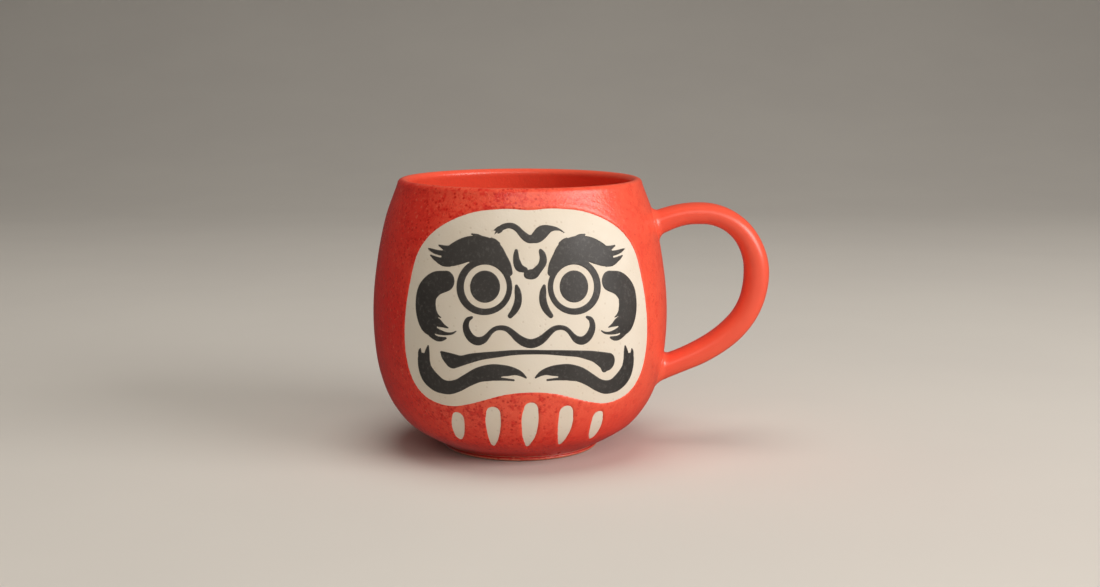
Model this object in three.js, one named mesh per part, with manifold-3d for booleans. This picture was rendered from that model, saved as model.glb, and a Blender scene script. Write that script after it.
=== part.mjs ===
// A round stoneware mug with a daruma face: a cream clay body, a red glaze coat with a face window
// and a fringe of five drops, and black brush marks on the cream. Millimetres, +Z up, standing on
// z = 0. The face looks along -Y and the handle points along +X.
import * as THREE from "three";
import { mergeVertices } from "three/addons/utils/BufferGeometryUtils.js";
import Module from "manifold-3d";

const wasm = await Module();
wasm.setup();

// Driving dimensions
const BELLY_RADIUS = 48;
const LIP_TOP = 88;
const LIP_RADIUS = 1.7; // the lip is a round bead, this is half its thickness
const LIP_CENTRE_RADIUS = 37.95;
const HANDLE_REACH = 81.4; // from the mug's axis to the outermost point of the handle
const HANDLE_HALF_WIDTH = 5.4; // across the handle, along Y
const AXIS_X = (BELLY_RADIUS - HANDLE_REACH) / 2; // puts the middle of the whole mug on x = 0
const FACE_TURN = THREE.MathUtils.degToRad(4.9); // the face is turned a little towards the handle

// Layers, as depths below the glazed outside
const COAT_DEPTH = 0.5;
const GAP = 0.3;
const CLAY_DEPTH = COAT_DEPTH + GAP;
const CREAM_TOP = 0.25;
const MARK_TOP = -0.3;
const MARK_BOTTOM = CREAM_TOP - GAP;
const CUTTER_INSIDE = BELLY_RADIUS * 0.35; // cutters run from well inside the wall to far outside
const CUTTER_OUTSIDE = BELLY_RADIUS * 2;

// Mesh fineness
const SIDES = 36;
const OUTSIDE_STEPS = 12; // one for each stretch of the profile below, as for the inside
const INSIDE_STEPS = 11;
const LIP_STEPS = 4;
const STROKE_STEP = 2.8;
const ELLIPSE_STEPS = 22;
const STROKE_END_DEGREES = [-40, 0, 40];
const HANDLE_SIDES = 12;
const HANDLE_STEPS = 22;
const WELD = 1e-4;

// Profiles as [radius, height]: the outside from the groove over the foot to the lip, the inside
// from the lip to the middle of the floor, and the foot ring.
const OUTSIDE = curve2([
  [25.1, 1.7],
  [31.3, 4.8],
  [37.2, 8.8],
  [41.3, 13.8],
  [44.2, 19.4],
  [46.6, 27.5],
  [47.7, 36],
  [BELLY_RADIUS, 44.5],
  [47.6, 52.5],
  [46.6, 60.5],
  [45.1, 69],
  [43.1, 77],
  [LIP_CENTRE_RADIUS + LIP_RADIUS, LIP_TOP - LIP_RADIUS],
]);
const INSIDE = curve2([
  [LIP_CENTRE_RADIUS - LIP_RADIUS, LIP_TOP - LIP_RADIUS],
  [38.6, 79.5],
  [40.9, 70],
  [42.6, 60],
  [43.5, 50],
  [43.7, 40],
  [43.0, 31],
  [40.8, 22],
  [36.4, 14.6],
  [28.0, 9.7],
  [15.0, 7.8],
  [0, 7.5],
]);
const COAT_END = 0.075; // how far down the inside the red coat goes, as a share of the profile
const LINER_START = 0.085;
const FOOT_OUTER = 25.4;
const FOOT_INNER = 22.3;
const FOOT_RECESS = 1.8;
const FOOT_EDGE = 0.9;
const FOOT_INNER_BEVEL = 0.8;

// The face, unrolled: a is the way round the belly from the middle of the face, z is the height.
const WINDOW_HALF = [
  [0, 81.85],
  [8.5, 82.15],
  [20, 80.9],
  [30, 77.2],
  [36, 73],
  [39.8, 67.8],
  [42, 58],
  [43.3, 47],
  [43.5, 38],
  [42.4, 31.3],
  [40.3, 26.8],
  [36.8, 23.6],
  [31.5, 21.85],
  [26, 21.6],
  [20, 22.85],
  [14.5, 24.55],
  [8, 26.45],
  [0, 27.25],
];
const WINDOW_STEPS = 44;

// Brush strokes as knots [a, z, half-width]
const FRINGE = [
  [[-25.15, 17.5, 2.15], [-26, 15.2, 2.4], [-27, 12.8, 2.2], [-28.1, 10.6, 1.4]],
  [[-12.2, 20, 2.35], [-12.6, 17, 2.6], [-13, 14, 2.35], [-13.7, 10.8, 1.7], [-14.5, 8.4, 0.8]],
  [[0.2, 21.7, 2.2], [0, 18.5, 2.8], [0, 15.5, 2.75], [-0.15, 12.2, 2.3], [-0.5, 8.3, 0.7]],
  [[12.1, 19.9, 2.35], [12.5, 16.8, 2.6], [12.8, 13.5, 2.35], [13, 10.6, 1.6], [13.2, 8.5, 0.8]],
  [[24.9, 17, 2.05], [25.6, 14.6, 2.35], [26.4, 11.9, 2.15], [27.3, 9.6, 1.2]],
];
const FOREHEAD = [
  [
    [-9.9, 76.35, 0.8], [-9, 76.9, 0.87], [-7.1, 77.4, 0.82], [-5.5, 77.2, 0.88], [-4, 76.4, 0.93],
    [-2.75, 75.2, 1.03], [-1.6, 74.2, 1.18], [-0.3, 73.5, 1.21], [1.2, 73.6, 1.32], [2.5, 74.2, 1.85],
    [3.8, 75.2, 2.02], [5.2, 75.9, 1.6], [6.6, 76.3, 1.05], [8, 76.4, 0.68], [9.2, 76.25, 0.47],
    [10.2, 75.95, 0.27], [11, 75.5, 0.2], [11.6, 75.1, 0.14],
  ],
  [[-10.2, 76.45, 0.75], [-11, 76.25, 0.45], [-11.75, 76, 0.15]],
  [[-10.3, 76.3, 0.5], [-11, 75.55, 0.28], [-11.6, 74.85, 0.12]],
  [[-9.6, 76.1, 0.7], [-10.2, 75.4, 0.35], [-10.5, 75.2, 0.18]],
];
const BROW_MARK = [
  [
    [-4.4, 70.05, 0.55], [-4.45, 68.9, 0.85], [-4.4, 67.8, 1], [-4.1, 66.5, 1.2],
    [-3.5, 65.3, 1.25], [-2.5, 64.75, 1], [-1.6, 64.5, 0.8],
  ],
  [
    [-0.75, 63.1, 1.3], [0.2, 63.15, 1.5], [1.1, 63.3, 1.45], [2.2, 64.3, 1.25], [3.25, 65.4, 1.12],
    [3.95, 66.5, 1.2], [4.15, 67.6, 1.17], [3.95, 68.9, 1], [3.5, 69.8, 0.7], [3.3, 70.2, 0.4],
  ],
];
const NOSE_SIDE = [
  [
    [-4.3, 59.7, 0.5], [-3.95, 58.2, 0.95], [-3.75, 56.2, 1.1], [-4.1, 54.2, 1.15],
    [-5, 52.4, 1], [-6.2, 50.9, 0.75],
  ],
];
const NOSE_AND_LIP_HALF = [
  [-18, 50.1, 0.4], [-19.3, 49.3, 0.75], [-19.9, 47.5, 1], [-19.4, 45.5, 1.2], [-18, 43.7, 1.3],
  [-16.2, 43, 1.3], [-14.4, 43.5, 1.1], [-13, 44.8, 0.8], [-11.9, 46.1, 0.7], [-10.6, 47, 0.7],
  [-8.9, 47.3, 0.75], [-7.2, 46.95, 0.85], [-5.5, 45.7, 1], [-3.9, 44.2, 1.2], [-2, 43, 1.35],
];
const NOSE_TIP = [0, 42.5, 1.4];
const MOUTH = [
  [
    [-24.6, 36.3, 2.35], [-21.6, 36.65, 1.6], [-18.2, 37.7, 1.4], [-15, 38.45, 1.15],
    [-10, 39.2, 0.95], [-5, 39.8, 0.78], [0, 39.9, 0.7], [5, 39.7, 0.7], [10, 39.25, 0.88],
    [15, 38.65, 1.05], [18, 38, 1.4], [20.2, 37.4, 1.65], [22.2, 36.6, 2.05], [25.3, 35.1, 2.85],
  ],
  [[-24.9, 36.4, 2.3], [-26.9, 37.5, 1.45], [-28.4, 38.75, 0.35]],
  [[24.8, 34.8, 2.4], [24.4, 33.2, 1.3]],
];
const EYE = [-14.1, 59.4];
const PUPIL_RADIUS = 4.75;
const EYE_OPENING = [6.8, 6.5];
const EYE_RING_CENTRE = [-14.5, 59.35];
const EYE_RING = [8.9, 8.4];
const BROW = [
  [
    [-6.6, 63.7, 1.1], [-7.7, 65.6, 1.75], [-9.6, 67.7, 2.4], [-12, 69.6, 3.3], [-15.5, 70.4, 3.8],
    [-20, 70.3, 3.75], [-23.5, 69.1, 3.6], [-26, 68, 3.1], [-27.2, 67.6, 2.45],
  ],
  [[-25.5, 69.3, 2], [-27.8, 69.95, 1], [-29.2, 70.3, 0.65], [-30.3, 70.6, 0.4], [-31.1, 70.8, 0.22]],
  [
    [-27, 68.6, 1.2], [-29.8, 68.6, 0.8], [-31.3, 68.7, 0.72], [-33, 68.98, 0.6],
    [-34.3, 69.3, 0.42], [-35.2, 69.55, 0.2],
  ],
  [
    [-26.5, 66.3, 1.6], [-28.5, 66.1, 1.38], [-30, 66.25, 1.03], [-31.2, 66.6, 0.78],
    [-32.5, 67.03, 0.58], [-33.3, 67.35, 0.38], [-33.95, 67.62, 0.22],
  ],
  [[-14.5, 73.1, 0.6], [-17.2, 74.35, 0.4], [-19.5, 74.7, 0.15]],
  [[-10.3, 72, 0.7], [-11.4, 73.1, 0.4], [-12.7, 73.75, 0.12]],
];
const WHISKER = [
  [
    [-27.3, 60.4, 3.1], [-31.3, 59.2, 3.7], [-34.1, 56.4, 4], [-34.55, 53, 4.05], [-34, 50, 4.05],
    [-33.2, 47.3, 3.4], [-32.4, 45.8, 2.4],
  ],
  [[-31.5, 51.5, 1.2], [-29.9, 50.1, 0.5], [-28.45, 49.3, 0.15]],
  [[-31.5, 48.3, 1.6], [-29.3, 47.7, 1.25], [-27.6, 47, 0.6], [-25.9, 46.45, 0.2]],
  [[-31.5, 45.6, 1.2], [-29, 44.9, 0.85], [-26.5, 44.6, 0.5], [-24.5, 44.85, 0.35], [-23.15, 45.55, 0.18]],
  [[-33.2, 45.6, 1.7], [-31.4, 43.5, 0.9], [-29.8, 42.8, 0.8], [-28.2, 42.8, 0.7], [-26.7, 43.2, 0.35]],
];
const BEARD = [
  [
    [-35.4, 35.2, 2.55], [-35.15, 33, 2.8], [-34, 30.7, 3.2], [-31.7, 28.85, 3.03], [-29.3, 27.9, 2.5],
    [-26.6, 27.7, 2.2], [-23.2, 28.7, 1.95], [-19.7, 30.7, 2], [-15.8, 32.65, 2.3],
    [-12, 33.5, 2.55], [-9.5, 34.1, 1.95], [-7, 34.1, 1.6], [-4.9, 33.9, 1.1], [-3.1, 33.2, 0.75],
    [-1.5, 32, 0.28],
  ],
  [[-13, 32.2, 1.3], [-10.5, 31.6, 0.65], [-8, 31.45, 0.42], [-5.25, 31.2, 0.3]],
  [[-36.5, 36, 1.2], [-36.8, 37.8, 0.7], [-36.5, 38.95, 0.2]],
  [[-34.2, 36, 1.3], [-33.7, 38.4, 0.85], [-33.25, 40.1, 0.3]],
];
// The right half of the face is the left half mirrored, a little narrower and drooping outwards.
const FACE_MIRROR = { scale: 0.98, droop: 0.02 };
const BEARD_MIRROR = { scale: 0.97, droop: 0.027 };

// The handle's middle line as knots [distance from the axis, height, half-thickness]
const HANDLE_PATH = [
  [39, 71.2, 6],
  [43.5, 72.7, 5.6],
  [46.6, 74.1, 4.4],
  [50, 75.3, 3.7],
  [54, 76.2, 3.5],
  [58, 76.45, 3.5],
  [62, 76.2, 3.45],
  [66, 75, 3.45],
  [69.5, 73, 3.5],
  [72.7, 70, 3.6],
  [75.2, 66, 3.75],
  [76.8, 61.5, 3.95],
  [HANDLE_REACH - 4.1, 57, 4.1],
  [76.9, 52, 4.05],
  [75.6, 47, 3.95],
  [73, 42, 3.9],
  [69.1, 37.5, 3.95],
  [64.5, 33.8, 3.9],
  [59, 30.5, 3.85],
  [53.5, 28, 3.7],
  [49, 26.2, 3.8],
  [45, 24.6, 4.4],
  [41, 23, 5],
].map((knot) => new THREE.Vector3(...knot));

const RED = new THREE.MeshStandardMaterial({ color: 0xd63a2c, roughness: 0.42, metalness: 0 });
const RED_INSIDE = new THREE.MeshStandardMaterial({ color: 0xd4392b, roughness: 0.3, metalness: 0 });
const CREAM = new THREE.MeshStandardMaterial({ color: 0xebdcc3, roughness: 0.7, metalness: 0 });
const CLAY = new THREE.MeshStandardMaterial({ color: 0xe6d3bc, roughness: 0.85, metalness: 0 });
const BLACK = new THREE.MeshStandardMaterial({ color: 0x3e3c3c, roughness: 0.75, metalness: 0 });

function curve2(points) {
  return new THREE.SplineCurve(points.map(([r, z]) => new THREE.Vector2(r, z)));
}

// The point of a profile at t, moved by depth to the side that the clay is on.
function sunk(profile, t, depth) {
  const along = profile.getTangent(t);
  return profile.getPoint(t).add(new THREE.Vector2(-along.y, along.x).multiplyScalar(depth));
}

function sunkRun(profile, depth, from, to, steps) {
  return Array.from({ length: steps + 1 }, (_, i) =>
    sunk(profile, THREE.MathUtils.lerp(from, to, i / steps), depth),
  );
}

// The round of the lip from outside to inside, without its two ends.
function lipRun(depth) {
  const points = [];
  for (let i = 1; i < LIP_STEPS; i += 1) {
    const angle = (Math.PI * i) / LIP_STEPS;
    const radius = LIP_RADIUS - depth;
    points.push(
      new THREE.Vector2(
        LIP_CENTRE_RADIUS + radius * Math.cos(angle),
        LIP_TOP - LIP_RADIUS + radius * Math.sin(angle),
      ),
    );
  }
  return points;
}

function solidOf(geometry) {
  const bare = new THREE.BufferGeometry().setAttribute("position", geometry.getAttribute("position"));
  bare.setIndex(geometry.index);
  const merged = mergeVertices(bare, WELD);
  return new wasm.Manifold(
    new wasm.Mesh({
      numProp: 3,
      vertProperties: merged.getAttribute("position").array,
      triVerts: new Uint32Array(merged.index.array),
    }),
  );
}

function geometryOf(solid) {
  const mesh = solid.getMesh();
  const geometry = new THREE.BufferGeometry();
  geometry.setAttribute("position", new THREE.BufferAttribute(mesh.vertProperties, 3));
  geometry.setIndex(new THREE.BufferAttribute(mesh.triVerts, 1));
  geometry.computeVertexNormals();
  return geometry;
}

function turned(profile) {
  return solidOf(new THREE.LatheGeometry(profile, SIDES).rotateX(Math.PI / 2));
}

function join(solids) {
  return solids.reduce((all, next) => all.add(next));
}

// A shell that follows the outside between two depths.
function outsideShell(top, bottom) {
  const outer = sunkRun(OUTSIDE, top, 0, 1, OUTSIDE_STEPS);
  const inner = sunkRun(OUTSIDE, bottom, 0, 1, OUTSIDE_STEPS).reverse();
  return turned([...outer, ...inner, outer[0]]);
}

// A full solid of revolution inside the outside, at a depth.
function core(depth) {
  const outer = sunkRun(OUTSIDE, depth, 0, 1, OUTSIDE_STEPS);
  const low = new THREE.Vector2(0, outer[0].y);
  const high = new THREE.Vector2(0, outer[OUTSIDE_STEPS].y);
  return turned([low, ...outer, high]);
}

function clayBody() {
  const foot = [
    [0, FOOT_RECESS],
    [FOOT_INNER - FOOT_INNER_BEVEL, FOOT_RECESS],
    [FOOT_INNER, 0],
    [FOOT_OUTER, 0],
    [FOOT_OUTER, FOOT_EDGE],
  ].map(([r, z]) => new THREE.Vector2(r, z));
  return turned([
    ...foot,
    ...sunkRun(OUTSIDE, CLAY_DEPTH, 0, 1, OUTSIDE_STEPS),
    ...lipRun(CLAY_DEPTH),
    ...sunkRun(INSIDE, CLAY_DEPTH, 0, 1, INSIDE_STEPS).map(onAxisAtEnd),
  ]);
}

// The last point of a run that ends at the middle of the floor lies exactly on the axis.
function onAxisAtEnd(point, i, run) {
  return i === run.length - 1 ? new THREE.Vector2(0, point.y) : point;
}

function coatRun(depth) {
  return [
    ...sunkRun(OUTSIDE, depth, 0, 1, OUTSIDE_STEPS),
    ...lipRun(depth),
    ...sunkRun(INSIDE, depth, 0, COAT_END, 1),
  ];
}

function redCoat() {
  const outer = coatRun(0);
  return turned([...outer, ...coatRun(COAT_DEPTH).reverse(), outer[0]]);
}

// The liner's steps down the inside fall where the clay's do, so their facets lie side by side.
function linerRun(depth) {
  const first = sunk(INSIDE, LINER_START, depth);
  const rest = sunkRun(INSIDE, depth, 1 / INSIDE_STEPS, 1, INSIDE_STEPS - 1).slice(1);
  return [first, ...rest].map(onAxisAtEnd);
}

function liner() {
  return turned([...linerRun(COAT_DEPTH).reverse(), ...linerRun(0)]);
}

// A cutter: an outline in the unrolled face, run straight out from near the axis to well outside.
function cutter(outline) {
  const shape = new THREE.Shape(outline.map(([a, z]) => new THREE.Vector2(a, z)));
  const geometry = new THREE.ExtrudeGeometry(shape, { depth: 1, bevelEnabled: false });
  const position = geometry.getAttribute("position");
  for (let i = 0; i < position.count; i += 1) {
    const angle = FACE_TURN + position.getX(i) / BELLY_RADIUS;
    const radius = THREE.MathUtils.lerp(CUTTER_INSIDE, CUTTER_OUTSIDE, position.getZ(i));
    const height = position.getY(i);
    position.setXYZ(i, radius * Math.sin(angle), -radius * Math.cos(angle), height);
  }
  return solidOf(geometry);
}

// The closed outline of one brush stroke: both sides of its middle line, with round ends.
function strokeOutline(knots, grow = 0) {
  const line = new THREE.CatmullRomCurve3(
    knots.map((knot) => new THREE.Vector3(...knot)),
    false,
    "centripetal",
  );
  const steps = Math.max(4, Math.ceil(line.getLength() / STROKE_STEP));
  const left = [];
  const right = [];
  for (let i = 0; i <= steps; i += 1) {
    const at = line.getPoint(i / steps);
    const along = line.getTangent(i / steps);
    const angle = Math.atan2(along.y, along.x);
    left.push(around(at, angle + Math.PI / 2, grow));
    right.push(around(at, angle - Math.PI / 2, grow));
  }
  const first = line.getTangent(0);
  const last = line.getTangent(1);
  const end = roundEnd(line.getPoint(1), Math.atan2(last.y, last.x), grow);
  const start = roundEnd(line.getPoint(0), Math.atan2(-first.y, -first.x), grow);
  return [...right, ...end, ...left.reverse(), ...start];
}

function around(at, angle, grow) {
  return [at.x + (at.z + grow) * Math.cos(angle), at.y + (at.z + grow) * Math.sin(angle)];
}

function roundEnd(at, heading, grow) {
  return STROKE_END_DEGREES.map((degrees) =>
    around(at, heading + THREE.MathUtils.degToRad(degrees), grow),
  );
}

function strokes(list, grow = 0) {
  return join(list.map((knots) => cutter(strokeOutline(knots, grow))));
}

function ellipse(centre, radii, grow = 0) {
  const curve = new THREE.EllipseCurve(...centre, radii[0] + grow, radii[1] + grow);
  return cutter(curve.getPoints(ELLIPSE_STEPS).slice(1).map((point) => [point.x, point.y]));
}

function mirrorKnot([a, z, half], { scale, droop }) {
  return [-a * scale, z - droop * Math.abs(a), half];
}

function mirrorStrokes(list, mirror) {
  return list.map((knots) => knots.map((knot) => mirrorKnot(knot, mirror)));
}

function windowOutline(grow) {
  const otherHalf = WINDOW_HALF.slice(1, -1).map(([a, z]) => [-a, z]);
  const knots = [...WINDOW_HALF, ...otherHalf.reverse()];
  const line = new THREE.CatmullRomCurve3(
    knots.map(([a, z]) => new THREE.Vector3(a, z, 0)),
    true,
    "centripetal",
  );
  return Array.from({ length: WINDOW_STEPS }, (_, i) => {
    const at = line.getPointAt(i / WINDOW_STEPS);
    const along = line.getTangentAt(i / WINDOW_STEPS);
    return [at.x - along.y * grow, at.y + along.x * grow];
  });
}

// The handle: a cylinder bent along its middle line, oval in section.
function handleSweep(grow) {
  const line = new THREE.CatmullRomCurve3(HANDLE_PATH, false, "centripetal");
  const geometry = new THREE.CylinderGeometry(1, 1, 1, HANDLE_SIDES, HANDLE_STEPS);
  const position = geometry.getAttribute("position");
  for (let i = 0; i < position.count; i += 1) {
    const t = position.getY(i) + 0.5;
    const at = line.getPoint(t);
    const along = line.getTangent(t);
    const normal = new THREE.Vector2(-along.y, along.x).normalize();
    const rise = position.getX(i) * (at.z + grow);
    const side = position.getZ(i) * (HANDLE_HALF_WIDTH + grow);
    position.setXYZ(i, at.x + normal.x * rise, side, at.y + normal.y * rise);
  }
  return solidOf(geometry);
}

const group = new THREE.Group();
group.position.x = AXIS_X;

function addPiece(name, solid, material) {
  const mesh = new THREE.Mesh(geometryOf(solid), material);
  mesh.name = name;
  group.add(mesh);
}

const creamShell = outsideShell(CREAM_TOP, COAT_DEPTH);
const markShell = outsideShell(MARK_TOP, MARK_BOTTOM);
const addCream = (name, outline) => addPiece(name, creamShell.intersect(outline), CREAM);
const addMark = (name, outline) => addPiece(name, markShell.intersect(outline), BLACK);

function buildBody() {
  const windows = join([cutter(windowOutline(0)), ...FRINGE.map((knots) => strokes([knots]))]);
  addPiece("clay_body", clayBody(), CLAY);
  addPiece("outer_glaze", redCoat().subtract(windows).subtract(handleSweep(GAP)), RED);
  addPiece("liner_glaze", liner(), RED_INSIDE);
  addPiece("handle", handleSweep(0).subtract(core(COAT_DEPTH)), RED);
}

function buildCream() {
  addCream("face_panel", cutter(windowOutline(-GAP)));
  FRINGE.forEach((knots, i) => addCream(`fringe_drop_${i + 1}`, strokes([knots], -GAP)));
}

function browAndRing(mirror) {
  const brow = mirror ? mirrorStrokes(BROW, FACE_MIRROR) : BROW;
  const place = (centre) => (mirror ? mirrorKnot([...centre, 0], FACE_MIRROR).slice(0, 2) : centre);
  const ring = ellipse(place(EYE_RING_CENTRE), EYE_RING);
  return strokes(brow).add(ring).subtract(ellipse(place(EYE), EYE_OPENING));
}

function buildSide(side, mirror) {
  const own = (list, rule = FACE_MIRROR) => (mirror ? mirrorStrokes(list, rule) : list);
  const eye = mirror ? mirrorKnot([...EYE, 0], FACE_MIRROR).slice(0, 2) : EYE;
  addMark(`${side}_brow_and_eye_ring`, browAndRing(mirror));
  addMark(`${side}_pupil`, ellipse(eye, [PUPIL_RADIUS, PUPIL_RADIUS]));
  addMark(`${side}_cheek_whisker`, strokes(own(WHISKER)));
  addMark(`${side}_nose_stroke`, strokes(own(NOSE_SIDE)));
  addMark(`${side}_beard_stroke`, strokes(own(BEARD, BEARD_MIRROR)));
}

function buildMiddle() {
  const rightHalf = NOSE_AND_LIP_HALF.map((knot) => mirrorKnot(knot, FACE_MIRROR)).reverse();
  addMark("forehead_wrinkle", strokes(FOREHEAD));
  addMark("brow_mark", strokes(BROW_MARK));
  addMark("nose_and_lip_line", strokes([[...NOSE_AND_LIP_HALF, NOSE_TIP, ...rightHalf]]));
  addMark("mouth_line", strokes(MOUTH));
}

buildBody();
buildCream();
buildSide("left", false);
buildSide("right", true);
buildMiddle();

export default group;
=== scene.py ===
import bpy
import numpy as np
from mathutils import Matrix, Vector


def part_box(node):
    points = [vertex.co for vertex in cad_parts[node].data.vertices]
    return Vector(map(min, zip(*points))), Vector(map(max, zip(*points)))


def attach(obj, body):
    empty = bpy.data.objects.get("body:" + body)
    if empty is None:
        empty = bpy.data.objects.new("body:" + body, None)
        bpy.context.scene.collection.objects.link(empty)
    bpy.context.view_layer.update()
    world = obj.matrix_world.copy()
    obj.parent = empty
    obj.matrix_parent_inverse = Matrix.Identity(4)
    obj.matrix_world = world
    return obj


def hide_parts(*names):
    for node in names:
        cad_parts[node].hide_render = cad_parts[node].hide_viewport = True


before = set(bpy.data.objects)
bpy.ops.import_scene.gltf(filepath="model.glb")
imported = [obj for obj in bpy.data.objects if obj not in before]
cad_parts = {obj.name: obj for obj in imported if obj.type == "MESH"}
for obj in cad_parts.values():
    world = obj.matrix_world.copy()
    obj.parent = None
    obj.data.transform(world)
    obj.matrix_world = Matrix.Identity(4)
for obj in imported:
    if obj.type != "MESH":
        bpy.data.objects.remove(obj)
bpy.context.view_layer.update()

MM = 0.001
BODY = "root"

# The clay's box gives the mug's axis.
clay_low, clay_high = (np.array(corner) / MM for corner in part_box("clay_body"))
AXIS_X = (clay_low[0] + clay_high[0]) / 2
BELLY_RADIUS = 48.0
LIP_TOP = 88.0
LIP_RADIUS = 1.7
LIP_CENTRE_RADIUS = 37.95
FACE_TURN = np.radians(4.9)

# Levels over (+) or under (-) the glazed outside
CREAM_LEVEL = -0.2
MARK_LEVEL = CREAM_LEVEL + 0.045
CLAY_LEVEL = -0.5
FILM_THICKNESS = 0.1
COAT_THICKNESS = 0.3

# How finely the pieces are cut up, as counts and as millimetres
AROUND = 180
CLAY_SPACING = 0.9
COAT_SPACING = 0.58
COAT_CELL = 0.6
COAT_FRONT_CELLS = 80
COAT_BACK_COLUMNS = 120
CREAM_CELL = 0.5
DROP_CELL = 0.35
INK_CELL = 0.2
DAB_SPACING = 0.16
OUTLINE_SPACING = 1.2

# A distance that is never the nearest, and floors that keep divisions steady
FAR = 99.0
LEAST_RISE = 0.05
LEAST_SLOPE_SQUARED = 0.25

# Profiles as [radius, height], the same as the CAD layers follow
FOOT_SIDE = [[25.25, 0.35], [25.6, 0.85], [25.15, 1.55]]
OUTSIDE = [
    [27.4, 2.75],
    [31.3, 4.8],
    [37.2, 8.8],
    [41.3, 13.8],
    [44.2, 19.4],
    [46.6, 27.5],
    [47.7, 36],
    [BELLY_RADIUS, 44.5],
    [47.6, 52.5],
    [46.6, 60.5],
    [45.1, 69],
    [43.1, 77],
]
INSIDE = [
    [38.6, 79.5],
    [40.9, 70],
    [42.6, 60],
    [43.5, 50],
    [43.7, 40],
    [43.0, 31],
    [40.8, 22],
    [36.4, 14.6],
    [28.0, 9.7],
    [15.0, 7.8],
    [1.0, 7.5],
]
FOOT_UNDER = [
    [1.0, 1.9],
    [12, 1.9],
    [20.6, 1.75],
    [22.1, 0.9],
    [22.7, 0.12],
    [23.6, 0],
    [24.6, 0.03],
    [25.1, 0.25],
]
LIP_ANGLES = np.radians([0, 25, 50, 75, 90, 105, 130, 155, 180])

# The face unrolled: a is the way round the belly from the middle of the face, z the height.
WINDOW_HALF = [
    [0, 81.85],
    [8.5, 82.15],
    [20, 80.9],
    [30, 77.2],
    [36, 73],
    [39.8, 67.8],
    [42, 58],
    [43.3, 47],
    [43.5, 38],
    [42.4, 31.3],
    [40.3, 26.8],
    [36.8, 23.6],
    [31.5, 21.85],
    [26, 21.6],
    [20, 22.85],
    [14.5, 24.55],
    [8, 26.45],
    [0, 27.25],
]

# Brush strokes as knots [a, z, half-width]
FRINGE = [
    [[-25.15, 17.5, 2.15], [-26, 15.2, 2.4], [-27, 12.8, 2.2], [-28.1, 10.6, 1.4]],
    [[-12.2, 20, 2.35], [-12.6, 17, 2.6], [-13, 14, 2.35], [-13.7, 10.8, 1.7], [-14.5, 8.4, 0.8]],
    [[0.2, 21.7, 2.2], [0, 18.5, 2.8], [0, 15.5, 2.75], [-0.15, 12.2, 2.3], [-0.5, 8.3, 0.7]],
    [[12.1, 19.9, 2.35], [12.5, 16.8, 2.6], [12.8, 13.5, 2.35], [13, 10.6, 1.6], [13.2, 8.5, 0.8]],
    [[24.9, 17, 2.05], [25.6, 14.6, 2.35], [26.4, 11.9, 2.15], [27.3, 9.6, 1.2]],
]
FOREHEAD = [
    [
        [-9.9, 76.35, 0.8], [-9, 76.9, 0.87], [-7.1, 77.4, 0.82], [-5.5, 77.2, 0.88], [-4, 76.4, 0.93],
        [-2.75, 75.2, 1.03], [-1.6, 74.2, 1.18], [-0.3, 73.5, 1.21], [1.2, 73.6, 1.32], [2.5, 74.2, 1.85],
        [3.8, 75.2, 2.02], [5.2, 75.9, 1.6], [6.6, 76.3, 1.05], [8, 76.4, 0.68], [9.2, 76.25, 0.47],
        [10.2, 75.95, 0.27], [11, 75.5, 0.2], [11.6, 75.1, 0.14],
    ],
    [[-10.2, 76.45, 0.75], [-11, 76.25, 0.45], [-11.75, 76, 0.15]],
    [[-10.3, 76.3, 0.5], [-11, 75.55, 0.28], [-11.6, 74.85, 0.12]],
    [[-9.6, 76.1, 0.7], [-10.2, 75.4, 0.35], [-10.5, 75.2, 0.18]],
]
BROW_MARK = [
    [
        [-4.4, 70.05, 0.55], [-4.45, 68.9, 0.85], [-4.4, 67.8, 1], [-4.1, 66.5, 1.2],
        [-3.5, 65.3, 1.25], [-2.5, 64.75, 1], [-1.6, 64.5, 0.8],
    ],
    [
        [-0.75, 63.1, 1.3], [0.2, 63.15, 1.5], [1.1, 63.3, 1.45], [2.2, 64.3, 1.25], [3.25, 65.4, 1.12],
        [3.95, 66.5, 1.2], [4.15, 67.6, 1.17], [3.95, 68.9, 1], [3.5, 69.8, 0.7], [3.3, 70.2, 0.4],
    ],
]
NOSE_SIDE = [
    [
        [-4.3, 59.7, 0.5], [-3.95, 58.2, 0.95], [-3.75, 56.2, 1.1], [-4.1, 54.2, 1.15],
        [-5, 52.4, 1], [-6.2, 50.9, 0.75],
    ],
]
NOSE_AND_LIP_HALF = [
    [-18, 50.1, 0.4], [-19.3, 49.3, 0.75], [-19.9, 47.5, 1], [-19.4, 45.5, 1.2], [-18, 43.7, 1.3],
    [-16.2, 43, 1.3], [-14.4, 43.5, 1.1], [-13, 44.8, 0.8], [-11.9, 46.1, 0.7], [-10.6, 47, 0.7],
    [-8.9, 47.3, 0.75], [-7.2, 46.95, 0.85], [-5.5, 45.7, 1], [-3.9, 44.2, 1.2], [-2, 43, 1.35],
]
NOSE_TIP = [0, 42.5, 1.4]
MOUTH = [
    [
        [-24.6, 36.3, 2.35], [-21.6, 36.65, 1.6], [-18.2, 37.7, 1.4], [-15, 38.45, 1.15],
        [-10, 39.2, 0.95], [-5, 39.8, 0.78], [0, 39.9, 0.7], [5, 39.7, 0.7], [10, 39.25, 0.88],
        [15, 38.65, 1.05], [18, 38, 1.4], [20.2, 37.4, 1.65], [22.2, 36.6, 2.05], [25.3, 35.1, 2.85],
    ],
    [[-24.9, 36.4, 2.3], [-26.9, 37.5, 1.45], [-28.4, 38.75, 0.35]],
    [[24.8, 34.8, 2.4], [24.4, 33.2, 1.3]],
]
EYE = [-14.1, 59.4]
PUPIL_RADII = [4.75, 4.75]
EYE_OPENING = [6.8, 6.5]
EYE_RING_CENTRE = [-14.5, 59.35]
EYE_RING = [8.9, 8.4]
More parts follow.
